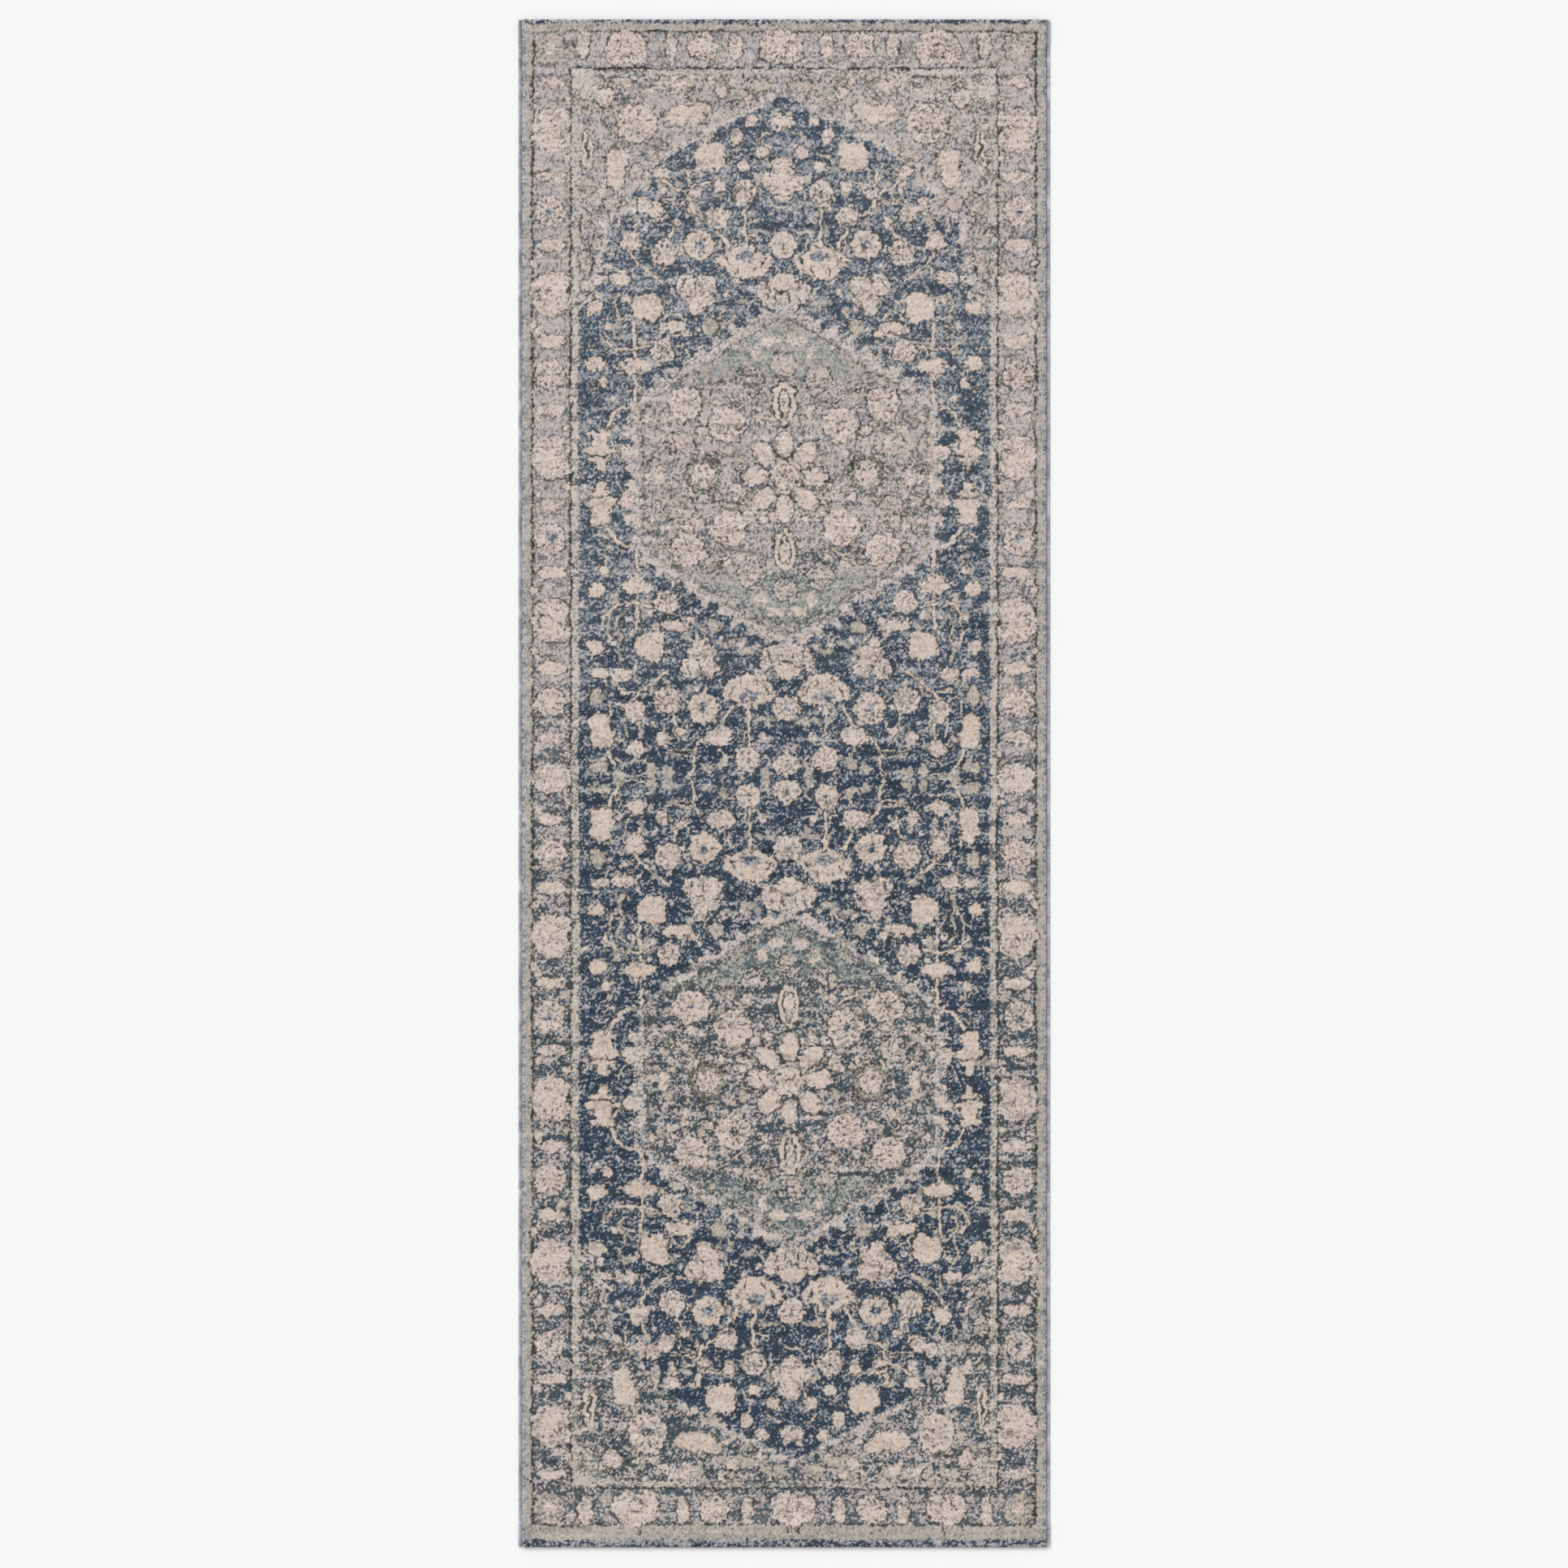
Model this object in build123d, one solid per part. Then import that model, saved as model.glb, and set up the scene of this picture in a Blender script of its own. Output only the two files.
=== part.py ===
"""A machine-woven runner rug, in millimetres.

Origin: centre of the underside, on the floor. +X across the rug, +Y along it, towards the head end, +Z up.

From the floor up the rug is a back coating, a ground web of four yarn layers, and a cut pile. At each end the
web is turned under, glued to itself and covered by a sewn tape, so the rug climbs a little over its hems. Along
each side a cord lies beside the web's margin, and serging yarn wraps the two together.
"""

import math
import os

from build123d import *

# The whole rug
RUG_WIDTH = 813.0
RUG_LENGTH = 2335.0

# Thickness of each layer, from the floor up
COATING = 0.6
LOWER_WEFT = 0.4
STUFFER_WARP = 0.5
BURIED_PILE_YARN = 0.4
UPPER_WEFT = 0.4
PILE_HEIGHT = 6.2
WEB = LOWER_WEFT + STUFFER_WARP + BURIED_PILE_YARN + UPPER_WEFT

# Side edges
CORD_RADIUS = 1.2
SERGING_WALL = 0.8
SERGING_MARGIN = 1.5  # how far the web reaches into the serging, past its nose
NOSE_TO_CORD = 2.6
YARN_GAP = 0.3  # serging yarn between the web's edge and the cord

# End hems
HEM_TURN = 25.0
ADHESIVE = 0.3
TAPE = 0.3
TAPE_WIDTH = 50.0
TAPE_INSET = 4.0  # from the fold to the tape
TAPE_SIDE_INSET = 3.0
RISE_RUN = 14.0  # over which the web climbs from the coating onto the hem
RAW_EDGE_GAP = 0.8  # from the raw edge of the turned-under web to the foot of the climb

# Hem stitching, two rows on each tape
STITCH_LENGTH = 5.0
STITCH_PITCH = 7.0
STITCH_WIDTH = 0.6
STITCH_DEPTH = 0.2
STITCH_ROWS = (8.0, 22.0)  # distances from the fold

# Blank care label, pressed into the coating
LABEL_LENGTH = 60.0
LABEL_WIDTH = 35.0
LABEL_THICKNESS = 0.3
LABEL_INSET = 90.0  # from the rug's side and end to the label's nearest edges

# Worked out from the sizes above
SERGING_RADIUS = CORD_RADIUS + SERGING_WALL
CORD_X = RUG_WIDTH / 2 - SERGING_RADIUS
WEB_HALF_WIDTH = CORD_X - CORD_RADIUS - YARN_GAP
NOSE_RADIUS = COATING + WEB / 2
NOSE_X = CORD_X - NOSE_TO_CORD
PILE_HALF_WIDTH = NOSE_X - NOSE_RADIUS - 0.05
HALF_LENGTH = RUG_LENGTH / 2
HEM_LEVEL = TAPE + WEB + ADHESIVE  # the web's underside over the hem
CLIMB = HEM_LEVEL - COATING
FOLD_RADIUS = ADHESIVE / 2
FOLD_Y = HALF_LENGTH - FOLD_RADIUS - WEB
RAW_EDGE_Y = FOLD_Y - HEM_TURN
CLIMB_END_Y = RAW_EDGE_Y - RAW_EDGE_GAP
CLIMB_START_Y = CLIMB_END_Y - RISE_RUN
CLIMB_ANGLE = 2 * math.degrees(math.atan(CLIMB / RISE_RUN))
CLIMB_RADIUS = RISE_RUN / (2 * math.sin(math.radians(CLIMB_ANGLE)))


def climbing_line(offset):
    """The line that lies offset above the web's underside, from mid-length to the top of the climb."""
    flat = COATING + offset
    return [
        Line((0, flat), (CLIMB_START_Y, flat)),
        CenterArc((CLIMB_START_Y, COATING + CLIMB_RADIUS), CLIMB_RADIUS - offset, -90, CLIMB_ANGLE),
        CenterArc((CLIMB_END_Y, HEM_LEVEL - CLIMB_RADIUS), CLIMB_RADIUS + offset, 90 + CLIMB_ANGLE, -CLIMB_ANGLE),
    ]


def folded_line(offset):
    """The climbing line carried on over the hem, round the fold and back to the raw edge."""
    over, under = HEM_LEVEL + offset, HEM_LEVEL - ADHESIVE - offset
    return climbing_line(offset) + [
        Line((CLIMB_END_Y, over), (FOLD_Y, over)),
        CenterArc((FOLD_Y, HEM_LEVEL - FOLD_RADIUS), FOLD_RADIUS + offset, 90, -180),
        Line((FOLD_Y, under), (RAW_EDGE_Y, under)),
    ]


def flat_ended_line(offset):
    """The climbing line carried straight on over the hem to the rug's end."""
    over = HEM_LEVEL + offset
    return climbing_line(offset) + [Line((CLIMB_END_Y, over), (HALF_LENGTH, over))]


def ribbon(line_at, low, high, half_width):
    """A layer between two offsets of one line, mirrored to both ends and as wide as twice half_width."""
    lower, upper = line_at(low), line_at(high)
    half = lower + upper + [Line(lower[-1] @ 1, upper[-1] @ 1)]
    outline = half + [edge.mirror(Plane.YZ) for edge in half]
    face = Plane.YZ * make_face(outline)
    return extrude(face, amount=half_width, both=True)


def corner_trims():
    """What is cut from the web's margins, so that the turned-under ends lie between the two sergings."""
    margin = WEB_HALF_WIDTH - PILE_HALF_WIDTH + 1
    turned = HALF_LENGTH - RAW_EDGE_Y + 1
    trims = []
    for side in (-1, 1):
        for end in (-1, 1):
            x = side * (PILE_HALF_WIDTH + margin / 2)
            under = Box(margin, turned, HEM_LEVEL - ADHESIVE / 2, align=(Align.CENTER, Align.CENTER, Align.MIN))
            trims.append(Pos(x, end * (RAW_EDGE_Y + turned / 2 - 0.5), 0) * under)
            fold = Box(margin, 2 * WEB, 4 * WEB, align=(Align.CENTER, Align.CENTER, Align.MIN))
            trims.append(Pos(x, end * (FOLD_Y + WEB), 0) * fold)
    return trims


def web_layer(low, high):
    """One yarn layer of the ground web, turned under at both ends."""
    layer = ribbon(folded_line, low, high, WEB_HALF_WIDTH)
    return layer - corner_trims()


def side_path():
    """The web's underside from end to end, which the cord and the serging follow."""
    half = flat_ended_line(0)
    return Plane.YZ * Wire([edge.mirror(Plane.YZ) for edge in half] + half)


def swept(section):
    """A solid of one section, drawn with the web's underside at height 0, along the rug's side."""
    start = Plane(origin=(0, -HALF_LENGTH, HEM_LEVEL), x_dir=(1, 0, 0), z_dir=(0, -1, 0))
    return sweep(start * section, path=side_path())


def disc(x, height, radius):
    return Pos(x, height - COATING) * Circle(radius)


def edge_cord(side):
    return swept(disc(side * CORD_X, SERGING_RADIUS, CORD_RADIUS))


def serging(side):
    """The wrap round cord and web margin: a round over the cord that tapers to a nose on the web."""
    spacing = CORD_X - NOSE_X
    drop = SERGING_RADIUS - NOSE_RADIUS
    towards = math.atan2(-drop, -spacing)
    spread = math.acos((SERGING_RADIUS - NOSE_RADIUS) / math.hypot(spacing, drop))
    corners = []
    for turn in (spread, -spread):
        c, s = math.cos(towards + turn), math.sin(towards + turn)
        big = (CORD_X + SERGING_RADIUS * c, SERGING_RADIUS * (1 + s) - COATING)
        small = (NOSE_X + NOSE_RADIUS * c, NOSE_RADIUS * (1 + s) - COATING)
        corners += [big, small] if turn > 0 else [small, big]
    taper = make_face(Polyline(*corners, close=True))
    outer = taper + disc(CORD_X, SERGING_RADIUS, SERGING_RADIUS) + disc(NOSE_X, NOSE_RADIUS, NOSE_RADIUS)
    slot_width = WEB_HALF_WIDTH - PILE_HALF_WIDTH + 2
    slot = Pos(WEB_HALF_WIDTH - slot_width / 2, WEB / 2) * Rectangle(slot_width, WEB)
    wall = outer - slot - disc(CORD_X, SERGING_RADIUS, CORD_RADIUS)
    return swept(wall if side > 0 else wall.mirror(Plane.YZ))


def end_slab(low_y, high_y, low_z, high_z, half_width, end):
    """A flat piece near one end; the y values are distances from mid-length."""
    slab = Box(2 * half_width, high_y - low_y, high_z - low_z)
    return Pos(0, end * (low_y + high_y) / 2, (low_z + high_z) / 2) * slab


def hem_stitches(end):
    """Two rows of lockstitch, each stitch a flat bar let into the tape's underside."""
    half_span = PILE_HALF_WIDTH - TAPE_SIDE_INSET - STITCH_PITCH
    count = int(2 * half_span / STITCH_PITCH)
    bar = Box(STITCH_LENGTH, STITCH_WIDTH, STITCH_DEPTH, align=(Align.CENTER, Align.CENTER, Align.MIN))
    return [
        Pos((i - (count - 1) / 2) * STITCH_PITCH, end * (HALF_LENGTH - row), 0) * bar
        for row in STITCH_ROWS
        for i in range(count)
    ]


def hem_tape(end, stitches):
    high_y = HALF_LENGTH - TAPE_INSET
    half_width = PILE_HALF_WIDTH - TAPE_SIDE_INSET
    return end_slab(high_y - TAPE_WIDTH, high_y, 0, TAPE, half_width, end) - stitches


def hem_adhesive(end):
    return end_slab(RAW_EDGE_Y, FOLD_Y, HEM_LEVEL - ADHESIVE, HEM_LEVEL, PILE_HALF_WIDTH, end)


def care_label():
    x = -RUG_WIDTH / 2 + LABEL_INSET + LABEL_LENGTH / 2
    y = HALF_LENGTH - LABEL_INSET - LABEL_WIDTH / 2
    return Pos(x, y, LABEL_THICKNESS / 2) * Box(LABEL_LENGTH, LABEL_WIDTH, LABEL_THICKNESS)


def back_coating():
    """The coat under the flat part of the web, thinner where the tapes and the label are pressed into it."""
    coat = end_slab(-CLIMB_START_Y, CLIMB_START_Y, 0, COATING, PILE_HALF_WIDTH, 1)
    landing_y = HALF_LENGTH - TAPE_INSET - TAPE_WIDTH
    half_width = PILE_HALF_WIDTH - TAPE_SIDE_INSET
    landings = [end_slab(landing_y, CLIMB_START_Y + 1, 0, TAPE, half_width, end) for end in (-1, 1)]
    return coat - landings - care_label()


def sub_parts():
    """Every piece of the rug by name."""
    parts = {"cut_pile": ribbon(flat_ended_line, WEB, WEB + PILE_HEIGHT, PILE_HALF_WIDTH)}
    low = 0.0
    layers = {
        "lower_weft": LOWER_WEFT,
        "stuffer_warp": STUFFER_WARP,
        "buried_pile_yarn": BURIED_PILE_YARN,
        "upper_weft": UPPER_WEFT,
    }
    for name, thickness in layers.items():
        parts[name] = web_layer(low, low + thickness)
        low += thickness
    parts["back_coating"] = back_coating()
    for name, side in (("left", -1), ("right", 1)):
        parts[f"{name}_edge_cord"] = edge_cord(side)
        parts[f"{name}_serging"] = serging(side)
    for name, end in (("head", 1), ("foot", -1)):
        stitches = hem_stitches(end)
        parts[f"{name}_hem_stitches"] = Compound(stitches)
        parts[f"{name}_hem_tape"] = hem_tape(end, stitches)
        parts[f"{name}_hem_adhesive"] = hem_adhesive(end)
    parts["care_label"] = care_label()
    return parts


os.makedirs("parts", exist_ok=True)
for node, shape in sub_parts().items():
    export_step(shape, f"parts/{node}.step")
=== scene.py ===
import math

import bpy
import numpy as np
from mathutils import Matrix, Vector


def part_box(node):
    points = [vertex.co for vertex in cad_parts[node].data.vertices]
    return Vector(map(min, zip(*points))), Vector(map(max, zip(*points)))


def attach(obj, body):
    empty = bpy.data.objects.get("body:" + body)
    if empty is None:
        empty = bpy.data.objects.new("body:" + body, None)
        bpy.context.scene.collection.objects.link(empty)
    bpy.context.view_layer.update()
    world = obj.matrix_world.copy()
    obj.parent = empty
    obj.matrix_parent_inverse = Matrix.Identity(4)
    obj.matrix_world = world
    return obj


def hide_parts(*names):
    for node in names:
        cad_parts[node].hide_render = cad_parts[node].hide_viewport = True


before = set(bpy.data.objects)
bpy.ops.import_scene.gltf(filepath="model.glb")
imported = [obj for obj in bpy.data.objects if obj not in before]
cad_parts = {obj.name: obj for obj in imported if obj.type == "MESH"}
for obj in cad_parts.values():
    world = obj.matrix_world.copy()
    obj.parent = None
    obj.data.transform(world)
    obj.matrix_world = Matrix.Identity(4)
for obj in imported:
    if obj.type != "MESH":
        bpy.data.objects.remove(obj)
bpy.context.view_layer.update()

# A flat runner rug. The script paints the rug's woven design on a grid of knots, makes the cut pile from that
# grid, and gives the edges, the web's folds, the hems, the back and the label their own meshes.

MM = 0.001
scene = bpy.context.scene

# ---- the design, in mm from the rug's middle
# It is the same in all four quarters, so it is painted once, on a canvas for one quarter: u out to the side,
# v out to the end, a cell for each mm. A cell holds a yarn mix: light yarn, dark yarn, share of dark knots,
# grain (how far single knots stray), relief in mm, and fade (how much dark wears away at the head end).

# Yarn colours, sRGB from 0 to 255
INK = (56, 58, 56)
NAVY = (52, 67, 86)
SLATE = (70, 82, 90)
DENIM = (124, 132, 142)
LILAC = (164, 164, 172)
SAGE = (164, 161, 153)
TAUPE = (178, 164, 157)
PINK = (219, 203, 194)
CREAM = (217, 201, 189)
SAND = (202, 187, 174)
ASH = (193, 182, 178)

FIELD = (DENIM, NAVY, 0.67, 1, 0, 0.32)
OUTLINE = (SAGE, INK, 0.86, 0.3, -0.5, 0)
BLOOM = (CREAM, (190, 174, 164), 0.26, 0.2, 0.5, 0)
ROSE = (PINK, TAUPE, 0.3, 0.35, 0.4, 0)
MOSS = (SAND, SAGE, 0.5, 0.3, 0.3, 0)
VINE = (CREAM, SAND, 0.2, 0.1, 0.4, 0)
CORE = (LILAC, SLATE, 0.55, 0.4, -0.3, 0.3)
GROUND = (ASH, SLATE, 0.6, 0.8, 0, 1)
ROOF = ((174, 172, 164), (92, 104, 106), 0.5, 0.5, 0, 0.8)
SEED = ((202, 187, 177), SLATE, 0.36, 0.6, 0, 0.8)
GAP = (ASH, SLATE, 0.6, 0.6, 0, 1)
STRIPE = ((206, 194, 184), (128, 130, 126), 0.32, 0.6, 0, 0.3)
EDGE = ((184, 179, 180), (132, 138, 146), 0.42, 0.5, 0, 0)
END_EDGE = ((150, 150, 156), NAVY, 0.45, 0.7, 0, 0)
RIM = ((212, 198, 190), (140, 142, 142), 0.42, 0.6, 0.2, 0.4)
GUARD = ((190, 178, 168), SAGE, 0.45, 0.3, 0.3, 0)
SLIT = (TAUPE, INK, 0.62, 0.3, -0.2, 0)
SHADE = (SAGE, (104, 104, 92), 0.6, 0.4, -0.2, 0)
DARK_LINE = (SAGE, INK, 0.84, 0.2, -0.5, 0)
SPECK = (SAGE, INK, 0.8, 0.2, -0.3, 0)
CREASE = (SAND, TAUPE, 0.6, 0.2, 0.2, 0)
CALYX = (ASH, DENIM, 0.5, 0.3, 0, 0)

HALF_W, HALF_L = 420, 1190  # the canvas, a little larger than a quarter of the rug
SHAPE = (HALF_L + 1, HALF_W + 1)
U = np.arange(SHAPE[1])[None, :]
V = np.arange(SHAPE[0])[:, None]
WHOLE = (slice(None), slice(None))
MIRROR = 461.0  # the field's pattern turns over about the medallion's middle
canvas = np.zeros((*SHAPE, 10), dtype=np.float32)


def blurred(field, across, along):
    """field smoothed by a Gaussian of these two widths, in cells, wrapping at its borders."""
    fy = np.fft.fftfreq(field.shape[0])[:, None]
    fx = np.fft.rfftfreq(field.shape[1])[None, :]
    spread = np.exp(-2 * np.pi ** 2 * ((fx * across) ** 2 + (fy * along) ** 2))
    return np.fft.irfft2(np.fft.rfft2(field) * spread, field.shape)


def noise(size, across, along, seed):
    """Smooth random values with a spread of 1."""
    field = blurred(np.random.default_rng(seed).standard_normal(size), across, along)
    return (field / field.std()).astype(np.float32)


WOBBLE_U = noise(SHAPE, 3.5, 3.5, 1) * 1.2
WOBBLE_V = noise(SHAPE, 3.5, 3.5, 2) * 1.2


def window(u, v, reach):
    """The canvas round a point, and each cell's offset from that point."""
    r0, r1 = max(int(v - reach), 0), min(int(v + reach) + 2, SHAPE[0])
    c0, c1 = max(int(u - reach), 0), min(int(u + reach) + 2, SHAPE[1])
    place = slice(r0, r1), slice(c0, c1)
    return place, U[:, c0:c1] - u + WOBBLE_U[place], V[r0:r1] - v + WOBBLE_V[place]


def paint(place, distance, yarn, soft=1.4):
    """Lay a yarn mix where distance is below zero."""
    mask = np.clip(0.5 - distance / soft, 0, 1)[..., None].astype(np.float32)
    light, dark, share, grain, relief, fade = yarn
    value = np.array([*light, *dark, share, grain, relief, fade], dtype=np.float32)
    part = canvas[place]
    part += (value - part) * mask


def lobe(u, v, ru, rv=None, lobes=8, depth=0.14, tilt=0.0, turn=0.0):
    """A scalloped ellipse: its window, and each cell's distance to the edge, angle and reach (1 at it)."""
    rv = rv or ru
    place, du, dv = window(u, v, max(ru, rv) + 8)
    c, s = math.cos(math.radians(tilt)), math.sin(math.radians(tilt))
    a, b = (c * du + s * dv) / ru, (c * dv - s * du) / rv
    angle, reach = np.arctan2(b, a), np.hypot(a, b)
    edge = 1 - depth * (1 - np.abs(np.cos(lobes / 2 * (angle - math.radians(turn)))))
    return place, (reach - edge) * min(ru, rv), angle, reach


def dab(yarn, u, v, ru, rv=None, lobes=6, depth=0.15, tilt=0.0):
    """A plain patch with no outline."""
    place, distance, _, _ = lobe(u, v, ru, rv, lobes, depth, tilt)
    paint(place, distance, yarn)


def ring(yarn, u, v, ru, rv, lobes, depth, half_width):
    """A scalloped line."""
    place, distance, _, _ = lobe(u, v, ru, rv, lobes, depth)
    paint(place, np.abs(distance) - half_width, yarn)


def bloom(yarn, *lobes, line=2.2):
    """One flower of several lobes (u, v, ru, rv, scallops): all the outlines first, then all the bodies."""
    for u, v, ru, rv, scallops in lobes:
        place, distance, _, _ = lobe(u, v, ru + line + 1.4, rv + 0.6 * line + 1.1, scallops, 0.14)
        paint(place, distance, OUTLINE)
    for u, v, ru, rv, scallops in lobes:
        dab(yarn, u, v, ru + 1.2, rv + 0.9, scallops, 0.14)
        if yarn is ROSE and min(ru, rv) >= 8.5:
            petal_lines(u, v, ru, rv, scallops, 0.5)


def petal_lines(u, v, ru, rv, petals, core=0.4):
    """Dark slits between a flower's petals, from its rim in to its heart."""
    turn = math.pi / petals
    place, distance, angle, reach = lobe(u, v, ru, rv, petals, 0.2, 0, math.degrees(turn))
    r = min(ru, rv)
    gap = np.abs(np.cos(petals / 2 * (angle - turn))) * reach * r * 2 / petals
    paint(place, np.maximum(gap - 0.7, np.maximum(core * r + 2 - reach * r, distance + 1)), SLIT)


def rosette(u, v, r, petals, yarn=ROSE, core=0.2, heart=CORE):
    """A round flower with slits between its petals and a ring round its heart."""
    bloom(yarn, (u, v, r, r, petals))
    petal_lines(u, v, r, r, petals, core)
    place, _, _, reach = lobe(u, v, r, r, 1, 0)
    paint(place, reach * r - core * r - 1.8, BLOOM)
    paint(place, reach * r - core * r, heart)


def smooth_curve(points, steps=8):
    """A curve through the points."""
    p = np.array([points[0], *points, points[-1]], float)
    out = []
    for a, b, c, d in zip(p[:-3], p[1:-2], p[2:-1], p[3:]):
        for t in np.arange(steps) / steps:
            bend = (2 * a - 5 * b + 4 * c - d) * t ** 2 + (3 * b - a - 3 * c + d) * t ** 3
            out.append(0.5 * (2 * b + (c - a) * t + bend))
    return np.array([*out, p[-1]])


def distance_to(curve, x, y):
    """How far each cell is from a line of straight pieces."""
    nearest = np.full(np.broadcast(x, y).shape, 1e9, dtype=np.float32)
    for (u0, v0), (u1, v1) in zip(curve[:-1], curve[1:]):
        length = max((u1 - u0) ** 2 + (v1 - v0) ** 2, 1e-6)
        t = np.clip(((x - u0) * (u1 - u0) + (y - v0) * (v1 - v0)) / length, 0, 1)
        nearest = np.minimum(nearest, np.hypot(x - u0 - t * (u1 - u0), y - v0 - t * (v1 - v0)))
    return nearest


def stem(*points, width=4.6, yarn=VINE, line=1.6):
    """A vine along a smooth curve."""
    curve = smooth_curve(points)
    middle = (curve.min(0) + curve.max(0)) / 2
    place, du, dv = window(*middle, (curve.max(0) - curve.min(0)).max() / 2 + 12)
    nearest = distance_to(curve, du + middle[0], dv + middle[1])
    paint(place, nearest - width / 2 - line, OUTLINE)
    paint(place, nearest - width / 2, yarn)


def inside(points):
    """Signed distance to a closed outline, negative inside, over the whole canvas."""
    x, y = U + WOBBLE_U * 1.5, V + WOBBLE_V * 1.5
    within = np.zeros(SHAPE, dtype=bool)
    loop = [*points, points[0]]
    for (u0, v0), (u1, v1) in zip(loop[:-1], loop[1:]):
        if v0 != v1:
            within ^= ((v0 > y) != (v1 > y)) & (x < u0 + (y - v0) * (u1 - u0) / (v1 - v0))
    nearest = distance_to(loop, x, y)
    return np.where(within, -nearest, nearest)


# ---- the field
# The arch's line from the end's middle down to the side border, and the medallion's hexagon
ARCH = ((0, 1046), (25, 1036), (48, 1022), (72, 1010), (96, 998), (118, 984), (142, 972), (166, 962),
        (180, 950), (204, 936), (216, 915), (234, 893), (237, 868), (262, 858), (273, 840), (275, 805),
        (287, 776), (290, 748), (310, 736), (318, 716))
HEXAGON = ((0, 254), (60, 224), (135, 171), (205, 129), (226, 100), (226, 0))


def ground():
    paint(WHOLE, np.full(SHAPE, -9.0), FIELD)
    draw = np.random.default_rng(22)
    for _ in range(170):
        u, v, turn = draw.uniform(5, 312), draw.uniform(5, 1030), draw.uniform(0, 6.28)
        points = [(u, v)]
        for _ in range(3):
            turn += draw.uniform(-0.9, 0.9)
            u, v = u + 9 * math.cos(turn), v + 9 * math.sin(turn)
            points.append((u, v))
        stem(*points, width=2.6, line=0.6)
    for _ in range(430):
        dab((MOSS, ROSE, CORE)[draw.integers(3)], draw.uniform(0, 312), draw.uniform(5, 1040),
            draw.uniform(3, 8), draw.uniform(3, 6), 5, 0.25, draw.uniform(0, 180))


def spandrels():
    """The corners beyond the arch, under their own ground and a light, toothed line."""
    outside = inside([*ARCH, (HALF_W, 716), (HALF_W, HALF_L), (0, HALF_L)])
    paint(WHOLE, outside, GROUND, 4)
    sprinkle(outside, 190, 31)
    teeth = 3.4 * np.cos((U - V) / 4.4) * np.cos((U + V) / 6)
    paint(WHOLE, distance_to(smooth_curve(ARCH, 3), U + WOBBLE_U, V + WOBBLE_V) - 4.0 - teeth, RIM)


def sprinkle(region, count, seed):
    """Small seeds of worn motifs inside a region."""
    draw = np.random.default_rng(seed)
    cells = np.argwhere(region[:1150, :318] < -6)
    for v, u in cells[draw.integers(len(cells), size=count)]:
        size_u, size_v = draw.uniform(4, 10), draw.uniform(3, 8)
        if draw.uniform() < 0.6:
            dab(OUTLINE, u, v, size_u + 1.8, size_v + 1.6, 5, 0.3)
        dab((SEED, MOSS, ROSE)[draw.integers(3)], u, v, size_u, size_v, 5, 0.3)


def medallion():
    """The hexagon, its own ground, its toothed rim and what lies inside."""
    upper = [(u, MIRROR + v) for u, v in HEXAGON]
    lower = [(u, MIRROR - v) for u, v in reversed(HEXAGON)]
    outline = [(-60, MIRROR + 254), *upper, *lower, (-60, MIRROR - 254)]
    within = inside(outline)
    paint(WHOLE, within, GROUND, 5)
    sprinkle(within, 300, 32)
    along = np.abs(V - MIRROR)
    paint(WHOLE, np.maximum(within + 16, 150 - along), ROOF, 6)
    rim = distance_to(upper + lower, U + WOBBLE_U, V + WOBBLE_V)
    teeth = np.maximum(0, np.cos((U * 0.9 - along * 0.75) / 5.2)) * 15 * (within > 0)
    paint(WHOLE, rim - 4.0 - teeth, RIM)
    paint(WHOLE, np.abs(within + 9) - 1.2, SHADE)
    for way in (-1, 1):
        medallion_half(lambda v: MIRROR + way * v)
    rosette(126, MIRROR + 3, 27, 10, SHADE, 0.72, GROUND)
    rosette(126, MIRROR + 3, 17, 6, ROSE, 0.2, ROSE)
    dab(ROSE, 192, MIRROR, 10, 14)
    for yarn, grow in ((OUTLINE, 2.8), (ROSE, 0), (BLOOM, -7)):
        for tilt in range(-90, 91, 45):
            u, v = 46 * math.cos(math.radians(tilt)), MIRROR + 49 * math.sin(math.radians(tilt))
            dab(yarn, u, v, 22 + grow, 14 + grow, 5, 0.1, tilt)
    bloom(ROSE, (0, MIRROR, 27, 26, 8))
    rosette(0, MIRROR, 20, 8, BLOOM, 0.3, SEED)


def medallion_half(at):
    """The motifs on one side of the medallion's middle; at gives a motif's v."""
    rosette(86, at(79), 28, 9, ROSE, 0.25, SEED)
    rosette(0, at(172), 19, 7, SEED, 0.2, SEED)
    bloom(VINE, (0, at(112), 16, 34, 9), line=4)
    dab(OUTLINE, 0, at(112), 10, 25, 5)
    dab(ROSE, 0, at(112), 7, 22, 5)
    rosette(160, at(50), 21, 8, SEED, 0.2, ROSE)
    rosette(150, at(112), 26, 9, ROSE, 0.25, SEED)
    rosette(52, at(150), 20, 8, SEED, 0.2, ROSE)
    dab(ROSE, 20, at(208), 16, 8)
    dab(ROSE, 42, at(190), 8, 12)
    stem((70, at(109)), (100, at(131)), (128, at(139)), width=2.6)


def twin_flower(u, v, out):
    """The large flower head; out is +1 where it opens away from mid-length."""
    bloom(BLOOM, (u, v - 2 * out, 42, 16, 15), (u, v + 8 * out, 33, 20, 13), (u, v - 9 * out, 25, 15, 9))
    for side in (-1, 1):
        dab(OUTLINE, u + side * 27, v + out, 1.8, 8, 1, 0, side * out * 28)
        dab(OUTLINE, u + side * 13, v + 15 * out, 1.2, 6, 1, 0, side * out * 16)
    dab(CALYX, u, v - 6 * out, 17, 9, 7)
    dab(CORE, u, v - 9 * out, 11, 4, 5)


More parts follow.
